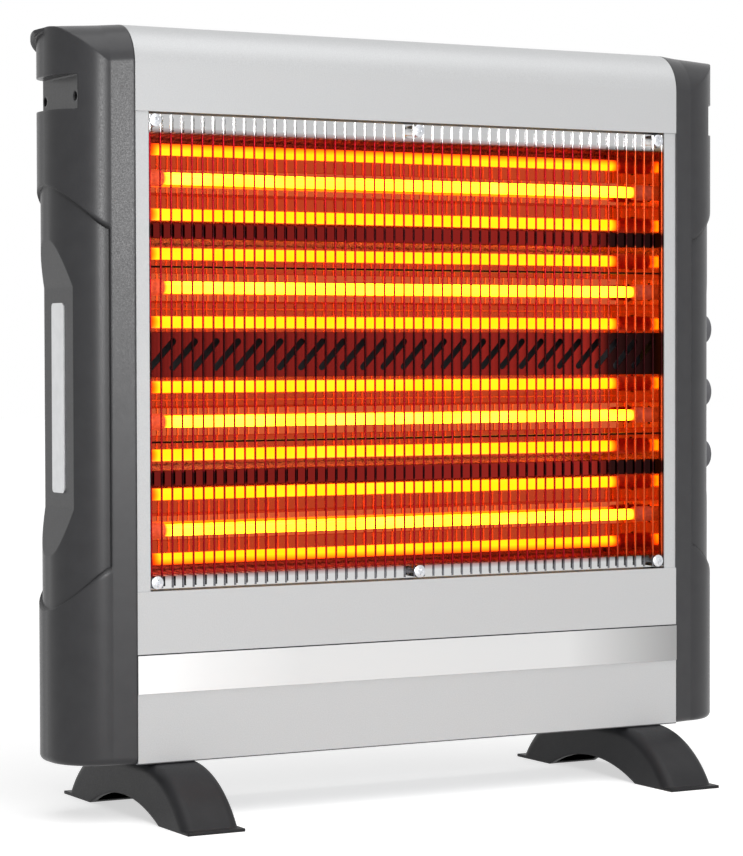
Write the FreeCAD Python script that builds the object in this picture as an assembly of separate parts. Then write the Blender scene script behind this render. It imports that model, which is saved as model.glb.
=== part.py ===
import FreeCAD, Part
import math
import os

# Quartz heater, millimetres, +Z up, front towards -Y, origin on the floor under the middle of the body.

# Overall body
body_width = 464.0
body_depth = 88.0
overall_height = 571.0
ground_clearance = 41.8
sheet = 1.2
roll_radius = 30.0
rear_roll_radius = 80.0

# Front panels, from the bottom up
lower_panel_height = 123.4
top_panel_height = 63.5
strip_width = 10.6
strip_setback = 1.0
trim_rise = 50.4
trim_height = 27.4
trim_thickness = 0.8
seam_width = 0.8
seam_depth = 0.7

# End covers
band_width = 17.0
band_drop = 4.0
side_flat = 8.0
cover_wall = 2.5
cover_bottom_fillet = 5.0
panel_recess_depth = 2.5
panel_recess_rise = 109.7
panel_recess_radius = 41.0
panel_recess_edge = 1.0
control_share = 0.49452
facet_depth = 11.7
facet_length = 158.0
facet_ramp = 43.0
grip_depth = 13.8
grip_height = 24.5
grip_drop = 38.2
grip_front = 11.0
lip_overhang = 4.5
lip_thickness = 2.4
roof_drop = 3.6
cover_boss_radius = 4.2
cover_boss_spacing = 56.0
cover_boss_rise = 9.2
cover_boss_seat = 8.0

# Blank plate on the left facet
plate_width = 22.0
plate_margin = 11.0
plate_thickness = 1.0
plate_corner = 3.0

# Reflectors
upper_flange = 13.7
lower_flange = 9.8
plain_ridge = 10.8
vent_ridge = 32.0
ridge_setback = 10.0
channel_depth = 24.0
inner_channel_extra = 2.6
outer_slope_share = 0.38
inner_slope_share = 0.355
blank_inset = 2.4
blank_rise = 4.6
blank_hole_play = 1.2
reflector_sheet = 0.8
edge_tuck = 3.0
slot_count = 25
slot_width = 4.8
slot_run = 21.3
slot_rise = 22.4
slot_end_margin = 2.9

# Quartz tubes
tube_setback = 19.0
tube_radius = 4.2
tube_wall = 1.1
coil_radius = 2.6
cap_length = 31.0
cap_radius = 6.0
cap_socket = 8.0
cap_past_plate = 3.0
pin_radius = 1.5
pin_length = 10.0
pin_nut_flats = 5.5
pin_nut_thickness = 2.4
bus_thickness = 1.0
bus_width = 10.0

# Wire guard
guard_setback = 2.7
guard_wire_radius = 0.8
guard_wire_count = 54
guard_end_gap = 1.45
guard_tip_gap = 2.0
guard_cross_share = 0.394
guard_side_play = 0.65
guard_screw_inset = 6.0
guard_head_radius = 4.6
guard_head_height = 1.6
guard_spacer_radius = 4.6
guard_screw_tail = 6.0

# Knobs and rotary switches
knob_radius = 12.0
knob_pitch = 50.5
knob_height = 15.9
knob_gap = 0.3
knob_dome = 1.5
knob_roof = 2.5
knob_skirt_wall = 2.0
knob_hub_radius = 5.0
pointer_width = 2.0
pointer_depth = 0.8
shaft_radius = 3.0
shaft_tail = 12.0
bushing_radius = 4.9
switch_size = 30.0
switch_depth = 24.0
switch_nut_flats = 14.0
switch_nut_thickness = 2.5

# Wiring
wire_radius = 1.2
wire_bend = 4.0
wire_lane_near = 18.0
wire_lane_far = 26.0
wire_tab_offset = 6.0
low_wire_rise = 10.0
low_wire_lane = 20.0
low_wire_bend = 8.0
supply_wire_y = -10.0
grommet_radius = 4.0
grommet_lip = 1.2
grommet_thickness = 1.2
block_length = 34.0
block_depth = 28.0
block_height = 16.0
block_inset = 62.0

# Rear panel
vent_slot_width = 5.0
vent_slot_height = 46.0
vent_slot_pitch = 14.0
vent_slot_count = 24
vent_rise = 52.0
vent_drop = 29.7
gland_inset = 60.0
gland_rise = 30.0
gland_radius = 8.0
gland_bore_radius = 4.0
gland_collar_radius = 11.0
gland_collar_length = 7.0
rear_screw_inset = 8.0
rear_screw_rows = 4

# Feet
foot_length = 224.0
foot_width = 44.0
foot_edge_inset = 7.3
foot_wall = 4.0
foot_flange = 2.2
foot_lip = 6.3
foot_flat = 67.6
toe_pad = 50.0
arch_height = 14.5
foot_edge_round = 8.0
foot_screw_spacing = 40.0

# Small screws: radius, head radius, head height, length under the head
screw_radius = 1.9
screw_head_radius = 3.2
screw_head_height = 2.0
screw_reach = 5.0

# Clearances
slip = 0.1
running_gap = 0.05
cut_overrun = 5.0

# Places worked out from the sizes above
half = body_width / 2
front = -body_depth / 2
back = body_depth / 2
opening_bottom = ground_clearance + lower_panel_height
opening_top = overall_height - top_panel_height
opening_height = opening_top - opening_bottom
opening_half = half - strip_width
strip_back = front + strip_setback + sheet
heated_height = opening_height - upper_flange - lower_flange
heat_centre = opening_bottom + lower_flange + heated_height / 2
channel_width = (heated_height - vent_ridge - 2 * plain_ridge - 2 * inner_channel_extra) / 4
control_height = ground_clearance + control_share * (overall_height - ground_clearance)
cover_round = (body_depth - 2 * band_drop - side_flat) / 2
cover_bulge = band_width + cover_round
facet_face = cover_bulge - facet_depth
plate_height = facet_length - 2 * plate_margin
ridge_y = front + ridge_setback
channel_y = ridge_y + channel_depth
tube_y = front + tube_setback
inner_pair = (vent_ridge + channel_width) / 2
outer_pair = inner_pair + channel_width + inner_channel_extra + plain_ridge
tube_heights = [heat_centre + rise for rise in (outer_pair, inner_pair, -inner_pair, -outer_pair)]
knob_heights = [control_height + step * knob_pitch for step in (1, 0, -1)]
cap_end = half + cap_past_plate
lit_length = 2 * (cap_end - cap_length)
guard_pitch = 2 * (opening_half - guard_end_gap) / (guard_wire_count - 1)
slot_pitch = (2 * (opening_half - slot_end_margin) - slot_run) / (slot_count - 1)
pin_end = cap_end + pin_length
low_wire_z = ground_clearance + sheet + low_wire_rise
block_right = half - block_inset
block_left = block_right - block_length
toe_drop = ground_clearance - foot_flange
toe_run = (foot_length - foot_flat) / 2 - foot_lip
toe_radius = (toe_run ** 2 + toe_drop ** 2) / (2 * toe_drop)


def point(x, y, z):
    return FreeCAD.Vector(x, y, z)


X_AXIS = point(1, 0, 0)
Y_AXIS = point(0, 1, 0)
Z_AXIS = point(0, 0, 1)


def block(x0, x1, y0, y1, z0, z1):
    """A box between two corners."""
    return Part.makeBox(x1 - x0, y1 - y0, z1 - z0, point(x0, y0, z0))


def rod(start, axis, radius, length):
    """A round bar from a point along an axis."""
    return Part.makeCylinder(radius, length, start, axis)


def ring(start, axis, outer, inner, length):
    """A round bar with a through bore."""
    return rod(start, axis, outer, length).cut(rod(start, axis, inner, length))


def hex_nut(start, axis, flats, bore, thickness):
    """A hexagonal nut with a plain bore."""
    corner = flats / math.sqrt(3)
    side = X_AXIS if abs(axis.x) < 1 else Y_AXIS
    other = axis.cross(side)
    turns = [math.radians(60 * step) for step in range(7)]
    corners = [start + side * (corner * math.cos(t)) + other * (corner * math.sin(t)) for t in turns]
    prism = Part.Face(Part.makePolygon(corners)).extrude(axis * thickness)
    return prism.cut(rod(start, axis, bore, thickness))


def pan_screw(seat, axis, radius, head_radius, head_height, reach):
    """A screw whose head stands on its seat along the axis, with the shank the other way."""
    head = rod(seat, axis, head_radius, head_height)
    return head.fuse(rod(seat - axis * reach, axis, radius, reach))


def small_screw(seat, axis, reach):
    return pan_screw(seat, axis, screw_radius, screw_head_radius, screw_head_height, reach)


def mirrored(shape):
    """The same piece on the other side of the middle plane."""
    return shape.mirror(point(0, 0, 0), X_AXIS)


def arc(start, middle, end):
    return Part.Arc(start, middle, end).toShape()


def line(start, end):
    return Part.makeLine(start, end)


def body_profile(inset, low):
    """The body's side outline, drawn in by inset and cut level at low: a small roll in front of the crest
    and a long one behind it."""
    y0 = front + inset
    y1 = back - inset
    z1 = overall_height - inset
    crest = front + roll_radius
    near = roll_radius - inset
    far = rear_roll_radius - inset
    near_z = overall_height - roll_radius
    far_z = overall_height - rear_roll_radius
    near_diagonal = near * math.sqrt(0.5)
    near_middle = point(0, crest - near_diagonal, near_z + near_diagonal)
    far_turn = math.asin((y1 - crest) / far)
    far_end = far_z + far * math.cos(far_turn)
    far_middle = point(0, crest + far * math.sin(far_turn / 2), far_z + far * math.cos(far_turn / 2))
    edges = [
        line(point(0, y0, low), point(0, y0, near_z)),
        arc(point(0, y0, near_z), near_middle, point(0, crest, z1)),
        arc(point(0, crest, z1), far_middle, point(0, y1, far_end)),
        line(point(0, y1, far_end), point(0, y1, low)),
        line(point(0, y1, low), point(0, y0, low)),
    ]
    return Part.Face(Part.Wire(edges))


def along_x(face, x0, x1):
    """A face drawn at x = 0, carried from x0 to x1."""
    solid = face.extrude(X_AXIS * (x1 - x0))
    solid.translate(X_AXIS * x0)
    return solid


def cover_section(inset, z):
    """The right cover's level outline: a sloping front band, a round, a short flat and the same behind."""
    knee = half + band_width
    reach = cover_round - inset
    side = knee + reach
    y0 = front + band_drop
    y1 = back - band_drop
    diagonal = reach * math.sqrt(0.5)
    front_middle = y0 + cover_round
    rear_middle = y1 - cover_round
    corners = [
        point(half, front + inset, z),
        point(knee, y0 + inset, z),
        point(side, front_middle, z),
        point(side, rear_middle, z),
        point(knee, y1 - inset, z),
        point(half, back - inset, z),
    ]
    edges = [
        line(corners[0], corners[1]),
        arc(corners[1], point(knee + diagonal, front_middle - diagonal, z), corners[2]),
        line(corners[2], corners[3]),
        arc(corners[3], point(knee + diagonal, rear_middle + diagonal, z), corners[4]),
        line(corners[4], corners[5]),
        line(corners[5], corners[0]),
    ]
    return Part.Face(Part.Wire(edges))


def roof_space(inset):
    """The space under the cover's roof, drawn in by inset: the body's side outline carried straight out, met
    with the same outline led along the sloping band and then straight on, falling towards the end."""
    low = ground_clearance - cut_overrun
    run = cover_bulge + lip_overhang + cut_overrun
    straight = along_x(body_profile(inset, low), half, half + run)
    fall = roof_drop / cover_bulge
    along_band = point(band_width, band_drop, -fall * band_width)
    beyond = run - band_width
    outline = body_profile(inset, low)
    outline.translate(point(half, -slip, slip))
    led = outline.extrude(along_band)
    outline.translate(along_band)
    led = led.fuse(outline.extrude(point(beyond, 0, -fall * beyond)))
    return straight.common(led)


def cover_core(inset, low):
    """The cover's inner form, drawn in by inset: its level outline under the roof."""
    upright = cover_section(inset, low).extrude(Z_AXIS * (overall_height - low))
    return upright.common(roof_space(inset))


def obround_bar(margin):
    """A bar along X over the panel recess, with round ends, widened by margin."""
    radius = panel_recess_radius + margin
    straight = control_height - ground_clearance - panel_recess_rise - panel_recess_radius
    x0 = half + band_width + panel_recess_edge - margin
    length = cover_round + cut_overrun
    bar = block(x0, x0 + length, -radius, radius, control_height - straight, control_height + straight)
    for end in (-straight, straight):
        bar = bar.fuse(rod(point(x0, 0, control_height + end), X_AXIS, radius, length))
    return bar.removeSplitter()


def facet_cutter(margin):
    """Everything outside the flat facet and its two end ramps, moved inwards by margin."""
    face_x = half + facet_face - margin
    far_x = half + cover_bulge + cut_overrun
    ramp_share = (far_x - face_x) / facet_depth
    inner = facet_length / 2 + margin
    outer = inner + facet_ramp * ramp_share
    y0 = front - cut_overrun
    corners = [
        point(face_x, y0, control_height - inner),
        point(far_x, y0, control_height - outer),
        point(far_x, y0, control_height + outer),
        point(face_x, y0, control_height + inner),
        point(face_x, y0, control_height - inner),
    ]
    depth = body_depth + 2 * cut_overrun
    return Part.Face(Part.makePolygon(corners)).extrude(Y_AXIS * depth)


def grip_cutter(margin):
    """The finger recess near the top, open to the side and to the rear."""
    x0 = half + cover_bulge - grip_depth - margin
    z1 = overall_height - grip_drop + margin
    return block(
        x0, half + cover_bulge + cut_overrun, front + grip_front - margin, back + cut_overrun,
        z1 - grip_height - 2 * margin, z1,
    )


def cover_lip():
    """The thin rim of the roof, which overhangs the side from the middle to the rear."""
    knee = half + band_width
    side = half + cover_bulge
    low = overall_height - roll_radius - cut_overrun
    y_front = front + band_drop + cover_round
    y_rear = back - band_drop - cover_round
    diagonal = cover_round * math.sqrt(0.5)
    corners = [
        point(knee, y_front, low),
        point(side, y_front, low),
        point(side + lip_overhang, y_rear, low),
        point(knee + lip_overhang, back - band_drop, low),
        point(knee, back - band_drop, low),
    ]
    bend = point(knee + lip_overhang + diagonal, y_rear + diagonal, low)
    edges = [
        line(corners[0], corners[1]),
        line(corners[1], corners[2]),
        arc(corners[2], bend, corners[3]),
        line(corners[3], corners[4]),
        line(corners[4], corners[0]),
    ]
    outline = Part.Face(Part.Wire(edges)).extrude(Z_AXIS * (overall_height - low))
    return outline.cut(roof_space(lip_thickness))


def boss_places():
    """The two cover screws of one side, above the grip recess's lower edge."""
    z = overall_height - grip_drop - grip_height + cover_boss_rise
    return [(step * cover_boss_spacing / 2, z) for step in (-1, 1)]


def end_cover():
    """The right end cover: a moulded shell, open towards the body."""
    outer = cover_section(0, ground_clearance).extrude(Z_AXIS * (overall_height - ground_clearance))
    bottom_edges = []
    for edge in outer.Edges:
        box = edge.BoundBox
        if box.ZMax < ground_clearance + slip and box.XMax > half + slip:
            bottom_edges.append(edge)
    outer = outer.makeFillet(cover_bottom_fillet, bottom_edges)
    outer = outer.fuse(cover_lip()).common(roof_space(0))
    recess_floor = cover_section(panel_recess_depth, 0).extrude(Z_AXIS * overall_height)
    panel_recess = obround_bar(0).cut(recess_floor)
    outer = outer.cut(panel_recess).cut(facet_cutter(0)).cut(grip_cutter(0))
    low = ground_clearance + cover_wall
    cavity = cover_core(cover_wall, low).cut(obround_bar(cover_wall))
    cavity = cavity.fuse(cover_core(cover_wall + panel_recess_depth, low))
    cavity = cavity.cut(facet_cutter(cover_wall)).cut(grip_cutter(cover_wall))
    shell = outer.cut(cavity)
    floor_x = cover_bulge - grip_depth
    for y, z in boss_places():
        shell = shell.fuse(rod(point(half, y, z), X_AXIS, cover_boss_radius, floor_x))
    for y, z in boss_places():
        shell = shell.cut(rod(point(half, y, z), X_AXIS, screw_radius + slip, cover_bulge))
        wide = rod(point(half + cover_boss_seat, y, z), X_AXIS, screw_head_radius + slip, cover_bulge)
        shell = shell.cut(wide)
    return shell.removeSplitter()


def switch_places():
    """The middle of each rotary switch on the inner side of the facet."""
    return [point(half + facet_face, 0, z) for z in knob_heights]


def right_cover(blank):
    """The right cover has a hole for the bushing of each switch."""
    cover = blank
    for place in switch_places():
        start = place - X_AXIS * cut_overrun
        cover = cover.cut(rod(start, X_AXIS, bushing_radius + slip, 2 * cut_overrun))
    return cover


def rounded_plate():
    """The blank plate on the left facet, with rounded corners."""
    x1 = -half - facet_face
    z0 = control_height - plate_height / 2
    plate = block(x1 - plate_thickness, x1, -plate_width / 2, plate_width / 2, z0, z0 + plate_height)
    corners = [edge for edge in plate.Edges if abs(edge.tangentAt(edge.FirstParameter).x) > 0.5]
    return plate.makeFillet(plate_corner, corners)


def top_panel():
    """The silver hood: a rolled sheet down to the guard in front and to the rear panel behind."""
    return along_x(body_profile(0, opening_top), -half, half).cut(
        along_x(body_profile(sheet, opening_top), -half, half))


def lower_front_panel():
    """The silver sheet below the guard, with a seam above the trim strip."""
    panel = block(-half, half, front, front + sheet, ground_clearance, opening_bottom)
    seam_z = ground_clearance + trim_rise + trim_height
    return panel.cut(block(-half, half, front, front + seam_depth, seam_z, seam_z + seam_width))


def chassis_plate():
    """The right upright plate that carries the tube caps, the cover and a flange for the rear panel."""
    low = ground_clearance + sheet
    plate = along_x(body_profile(sheet, low), half - sheet, half)
    plate = plate.cut(block(half - strip_width, half, front, strip_back, opening_bottom, opening_top))
    flange_x = half - sheet - 2 * rear_screw_inset
    flange = block(flange_x, half - sheet, back - 2 * sheet, back - sheet, low, opening_top)
    plate = plate.fuse(flange)
    for z in tube_heights:
        plate = plate.cut(rod(point(half - sheet, tube_y, z), X_AXIS, cap_radius + slip, sheet))
    for y, z in boss_places():
        plate = plate.cut(rod(point(half - sheet, y, z), X_AXIS, screw_radius + running_gap, sheet))
    for z in rear_screw_heights():
        start = point(half - rear_screw_inset, back - 2 * sheet, z)
        plate = plate.cut(rod(start, Y_AXIS, screw_radius + running_gap, sheet))
    return plate


def with_wire_hole(plate, y):
    """A chassis plate with the hole for a low wire's grommet."""
    x0 = half - sheet if plate.BoundBox.XMax > 0 else -half
    return plate.cut(rod(point(x0, y, low_wire_z), X_AXIS, grommet_radius, sheet))


def side_strip():
    """The right upright front strip, set back from the panels above and below it."""
    y0 = front + strip_setback
    return block(opening_half, half, y0, y0 + sheet, opening_bottom, opening_top)


def channel_blanks():
    """A polished plate across the right end of each channel, set in from the end sheet.

    It rises in front of the ridges, and its cap passes through a wider hole.
    """
    folds = reflector_folds()
    rim_y = ridge_y - blank_rise
    x0 = opening_half - blank_inset
    blanks = []
    for side, tubes in ((1, tube_heights[:2]), (-1, tube_heights[:1:-1])):
        for index, tube_z in enumerate(tubes):
            first = 1 + 4 * index
            channel = folds[first:first + 4]
            outline = channel + [(rim_y, channel[-1][1]), (rim_y, channel[0][1])]
            corners = [point(0, y, heat_centre + side * z) for y, z in outline]
            blank = along_x(Part.Face(Part.makePolygon(corners + corners[:1])), x0, x0 + sheet)
            hole = rod(point(x0, tube_y, tube_z), X_AXIS, cap_radius + blank_hole_play, sheet)
            blanks.append(blank.cut(hole))
    return blanks


def reflector_end():
    """The right polished end of the heat chamber: a sheet with a flange behind the strip, and the blanks."""
    low = opening_bottom - edge_tuck
    high = opening_top + edge_tuck
    plate = block(opening_half, opening_half + sheet, strip_back, channel_y + reflector_sheet, low, high)
    flange = block(opening_half, half - sheet, strip_back, strip_back + sheet, low, high)
    plate = plate.fuse(flange)
    for z in tube_heights:
        plate = plate.cut(rod(point(opening_half, tube_y, z), X_AXIS, cap_radius + slip, sheet))
    return Part.makeCompound([plate.removeSplitter()] + channel_blanks())


def folded_sheet(fold_points, thickness):
    """A sheet between the reflector ends, folded along a line of (y, z) points, its back face mitred."""
    rear = []
    last = len(fold_points) - 1
    for index, (y, z) in enumerate(fold_points):
        before = fold_points[max(index - 1, 0)]
        after = fold_points[min(index + 1, last)]
        here = (y, z)
        normals = []
        for a, b in ((before, here), (here, after)):
            length = math.hypot(b[0] - a[0], b[1] - a[1])
            if length > 0:
                normals.append(((a[1] - b[1]) / length, (b[0] - a[0]) / length))
        ny = sum(n[0] for n in normals)
        nz = sum(n[1] for n in normals)
        stretch = thickness * len(normals) / (ny * ny + nz * nz)
        rear.append((y + ny * stretch, z + nz * stretch))
    outline = [point(0, y, z) for y, z in fold_points + rear[::-1] + fold_points[:1]]
    return along_x(Part.Face(Part.makePolygon(outline)), -opening_half, opening_half)


def reflector_folds():
    """The upper reflector's fold line, from its top flange down to the slotted strip, about heat_centre.

    The inner channel is wider on its outer side, and the outer slopes take up more of the height.
    """
    level = opening_top + edge_tuck - heat_centre
    folds = [(ridge_y, level)]
    for tube, extra in ((outer_pair, 0), (inner_pair, inner_channel_extra)):
        high = tube + channel_width / 2 + extra
        low = tube - channel_width / 2
        folds.append((ridge_y, high))
        folds.append((channel_y, high - outer_slope_share * channel_width))
        folds.append((channel_y, low + inner_slope_share * channel_width))
        folds.append((ridge_y, low))
    return folds


def guard_screw_places():
    """Where the guard is screwed to the reflector flanges: both ends and the middle, above and below."""
    side = (guard_wire_count / 2 - 1) * guard_pitch
    rows = (opening_top - guard_screw_inset, opening_bottom + guard_screw_inset)
    return [(x, z) for z in rows for x in (-side, 0, side)]


def drilled_for_guard(sheet_piece):
    """A reflector with the holes of the guard screws."""
    piece = sheet_piece
    for x, z in guard_screw_places():
        start = point(x, ridge_y - reflector_sheet, z)
        piece = piece.cut(rod(start, Y_AXIS, screw_radius + running_gap, 3 * reflector_sheet))
    return piece


def upper_reflector():
    folds = [(y, heat_centre + z) for y, z in reflector_folds()]
    return trimmed_at_strip(drilled_for_guard(folded_sheet(folds, reflector_sheet)))


def lower_reflector():
    """The lower reflector: the upper fold line turned over, its flange cut to the lower edge."""
    folds = [(y, heat_centre - z) for y, z in reflector_folds()][::-1]
    folds[-1] = (ridge_y, opening_bottom - edge_tuck)
    return trimmed_at_strip(drilled_for_guard(folded_sheet(folds, reflector_sheet)))


def trimmed_at_strip(piece):
    """A reflector cut level where it meets the slotted strip."""
    reach = vent_ridge / 2
    return piece.cut(block(
        -half, half, front, back, heat_centre - reach, heat_centre + reach))


def vent_strip():
    """The middle ridge: a flat strip with a row of slanted slots with round ends."""
    reach = vent_ridge / 2
    strip = block(-opening_half, opening_half, ridge_y, ridge_y + reflector_sheet,
                  heat_centre - reach, heat_centre + reach)
    slant = math.hypot(slot_run, slot_rise)
    along = point(slot_run / slant, 0, slot_rise / slant)
    across = point(-along.z, 0, along.x)
    straight = slant - slot_width
    radius = slot_width / 2
    for index in range(slot_count):
        x = (index - (slot_count - 1) / 2) * slot_pitch
        middle = point(x, ridge_y, heat_centre)
        ends = (middle - along * (straight / 2), middle + along * (straight / 2))
        corners = [ends[0] - across * radius, ends[1] - across * radius,
                   ends[1] + across * radius, ends[0] + across * radius, ends[0] - across * radius]
        slot = Part.Face(Part.makePolygon(corners)).extrude(Y_AXIS * reflector_sheet)
        for end in ends:
            slot = slot.fuse(rod(end, Y_AXIS, radius, reflector_sheet))
        strip = strip.cut(slot)
    return strip


def quartz_tube(z):
    """One clear tube, its ends inside the ceramic caps."""
    length = lit_length + 2 * cap_socket
    start = point(-length / 2, tube_y, z)
    return ring(start, X_AXIS, tube_radius, tube_radius - tube_wall, length)


def heating_coil(z):
    """The close-wound coil as a plain bar, from cap to cap."""
    length = lit_length + 2 * cap_socket
    return rod(point(-length / 2, tube_y, z), X_AXIS, coil_radius, length)


def ceramic_cap(z):
    """A cap on the right end of a tube, seated in the reflector end and the chassis plate."""
    start = point(lit_length / 2, tube_y, z)
    cap = rod(start, X_AXIS, cap_radius, cap_end - lit_length / 2)
    return cap.cut(rod(start, X_AXIS, tube_radius + running_gap, cap_socket))


def tube_pin(z):
    return rod(point(cap_end, tube_y, z), X_AXIS, pin_radius, pin_length)


def pin_nut(z, seat):
    """A nut on a tube's pin, on the given seat."""
    return hex_nut(point(seat, tube_y, z), X_AXIS, pin_nut_flats, pin_radius, pin_nut_thickness)


def both_sides(make):
    """Each tube's piece on the right end and on the left end."""
    right = [make(z) for z in tube_heights]
    return right, [mirrored(shape) for shape in right]


def bus_bar():
    """The strip that joins the four pins on the left."""
    x1 = -cap_end
    end = bus_width / 2
    low = tube_heights[-1] - end
    high = tube_heights[0] + end
    bar = block(x1 - bus_thickness, x1, tube_y - end, tube_y + end, low, high)
    for z in tube_heights:
        bar = bar.cut(rod(point(x1 - bus_thickness, tube_y, z), X_AXIS, pin_radius, bus_thickness))
    return bar


def guard_grille():
    """Upright wires that end just inside the opening, with cross wires on their rear side."""
    y = front + guard_setback
    low = opening_bottom + guard_tip_gap
    length = opening_height - 2 * guard_tip_gap
    wires = []
    for index in range(guard_wire_count):
        x = (index - (guard_wire_count - 1) / 2) * guard_pitch
        wires.append(rod(point(x, y, low), Z_AXIS, guard_wire_radius, length))
    reach = opening_half - guard_side_play
    for side in (-1, 1):
        z = heat_centre + side * guard_cross_share * heated_height / 2
        start = point(-reach, y + 2 * guard_wire_radius, z)
        wires.append(rod(start, X_AXIS, guard_wire_radius, 2 * reach))
    return Part.makeCompound(wires)


def guard_spacers():
    """Rings that hold the guard clear of the reflector flanges."""
    y0 = front + guard_setback + guard_wire_radius
    rings = []
    for x, z in guard_screw_places():
        start = point(x, y0, z)
        rings.append(ring(start, Y_AXIS, guard_spacer_radius, screw_radius + slip, ridge_y - y0))
    return Part.makeCompound(rings)


def guard_screws():
    """Flat screws whose heads clamp the two wires beside them."""
    seat_y = front + guard_setback - guard_wire_radius
    reach = ridge_y + reflector_sheet + guard_screw_tail - seat_y
    forward = -Y_AXIS
    screws = []
    for x, z in guard_screw_places():
        seat = point(x, seat_y, z)
        screws.append(pan_screw(seat, forward, screw_radius, guard_head_radius, guard_head_height, reach))
    return Part.makeCompound(screws)


def knob(place):
    """A round knob with a domed rim, a hub on the shaft and a pointer groove across its end."""
    base = place + X_AXIS * knob_gap
    body = rod(base, X_AXIS, knob_radius, knob_height)
    end_x = base.x + knob_height
    rim = [edge for edge in body.Edges if edge.BoundBox.XMin > end_x - slip]
    body = body.makeFillet(knob_dome, rim)
    hollow = knob_height - knob_roof - knob_dome
    skirt = ring(base, X_AXIS, knob_radius - knob_skirt_wall, knob_hub_radius, hollow)
    nut_space = switch_nut_thickness + knob_gap
    body = body.cut(skirt)
    body = body.cut(rod(base, X_AXIS, knob_radius - knob_skirt_wall, nut_space))
    body = body.cut(rod(base, X_AXIS, shaft_radius, knob_height - knob_roof))
    groove = block(end_x - pointer_depth, end_x + pointer_depth, -pointer_width / 2, pointer_width / 2,
                   place.z, place.z + knob_radius - knob_dome)
    return body.cut(groove)


def knob_shaft(place):
    """The switch's shaft, up to the knob's roof."""
    start = place - X_AXIS * (cover_wall + shaft_tail)
    return rod(start, X_AXIS, shaft_radius, cover_wall + shaft_tail + knob_gap + knob_height - knob_roof)


def rotary_switch(place):
    """A switch behind the facet: a square body and a bushing through the wall, bored for the shaft."""
    x1 = place.x - cover_wall
    side = switch_size / 2
    body = block(x1 - switch_depth, x1, -side, side, place.z - side, place.z + side)
    bushing = rod(point(x1, 0, place.z), X_AXIS, bushing_radius, cover_wall + switch_nut_thickness)
    body = body.fuse(bushing)
    bore_depth = shaft_tail + knob_gap
    bore = rod(point(x1 - bore_depth, 0, place.z), X_AXIS, shaft_radius + running_gap,
               bore_depth + cover_wall + switch_nut_thickness)
    return body.cut(bore)


def switch_nut(place):
    return hex_nut(place, X_AXIS, switch_nut_flats, bushing_radius, switch_nut_thickness)


def eased_route(corners, bend):
    """A wire's route in which two corners too close for a bend each become one, halfway between them."""
    eased = corners[:2]
    for corner in corners[2:-1]:
        if (corner - eased[-1]).Length < 2 * bend:
            eased[-1] = (corner + eased[-1]) * 0.5
        else:
            eased.append(corner)
    return eased + corners[-1:]


def bent_wire(corners, bend):
    """A round wire along straight runs, with a tangent arc of the bend radius at each corner."""
    route = eased_route(corners, bend)
    edges = []
    start = route[0]
    for index in range(1, len(route) - 1):
        corner = route[index]
        back_way = (route[index - 1] - corner).normalize()
        on_way = (route[index + 1] - corner).normalize()
        half_turn = back_way.getAngle(on_way) / 2
        reach = bend / math.tan(half_turn)
        inward = (back_way + on_way).normalize()
        middle = corner + inward * (bend / math.sin(half_turn) - bend)
        edges.append(line(start, corner + back_way * reach))
        edges.append(arc(corner + back_way * reach, middle, corner + on_way * reach))
        start = corner + on_way * reach
    edges.append(line(start, route[-1]))
    path = Part.Wire(edges)
    heading = route[1] - route[0]
    section = Part.Wire(Part.makeCircle(wire_radius, route[0], heading))
    return path.makePipeShell([section], True, False)


def switch_wiring():
    """From each tube's right pin to a tab on the side of a switch: the middle switch feeds two tubes.
    A wire whose tab lies about level with its tube goes straight across."""
    side = -switch_size / 2
    feeds = (
        (tube_heights[0], knob_heights[0] + wire_tab_offset, wire_lane_far),
        (tube_heights[1], knob_heights[1] + wire_tab_offset, wire_lane_near),
        (tube_heights[2], knob_heights[1] - wire_tab_offset, wire_lane_near),
        (tube_heights[3], knob_heights[2] - wire_tab_offset, wire_lane_far),
    )
    wires = []
    for tube_z, tab_z, lane in feeds:
        x = half + lane
        end_z = tab_z if abs(tab_z - tube_z) > 2 * wire_bend else tube_z
        route = [point(pin_end, tube_y, tube_z), point(x, tube_y, tube_z), point(x, tube_y, end_z),
                 point(x, side, end_z)]
        wires.append(bent_wire(route, wire_bend))
    return Part.makeCompound(wires)


def terminal_block():
    """The connector on the base plate where the supply comes in."""
    y0 = tube_y - block_depth / 4
    low = ground_clearance + sheet
    return block(block_left, block_right, y0, y0 + block_depth, low, low + block_height)


def supply_wire():
    """From the terminal block through the right chassis plate up to the lowest switch."""
    x = half + low_wire_lane
    end_z = knob_heights[2] - switch_size / 2
    route = [point(block_right, supply_wire_y, low_wire_z), point(x, supply_wire_y, low_wire_z),
             point(x, supply_wire_y, end_z)]
    return bent_wire(route, low_wire_bend)


def return_wire():
    """From the bus bar's lower end through the left chassis plate to the terminal block."""
    x = -cap_end - bus_thickness - wire_radius
    top_z = tube_heights[-1] - bus_width / 2 + wire_radius
    reach = -half - low_wire_lane
    route = [
        point(x, tube_y, top_z),
        point(x, tube_y, top_z - 2 * low_wire_bend),
        point(reach, tube_y, top_z - 4 * low_wire_bend),
        point(reach, tube_y, low_wire_z),
        point(block_left, tube_y, low_wire_z),
    ]
    return bent_wire(route, low_wire_bend)


def wire_grommets():
    """A rubber ring in each chassis plate, round its low wire."""
    rings = []
    for x0, y in ((half - sheet, supply_wire_y), (-half, tube_y)):
        middle = ring(point(x0, y, low_wire_z), X_AXIS, grommet_radius, wire_radius, sheet)
        for start in (x0 - grommet_thickness, x0 + sheet):
            lip = ring(point(start, y, low_wire_z), X_AXIS, grommet_radius + grommet_lip, wire_radius,
                       grommet_thickness)
            middle = middle.fuse(lip)
        rings.append(middle.removeSplitter())
    return Part.makeCompound(rings)


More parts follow.
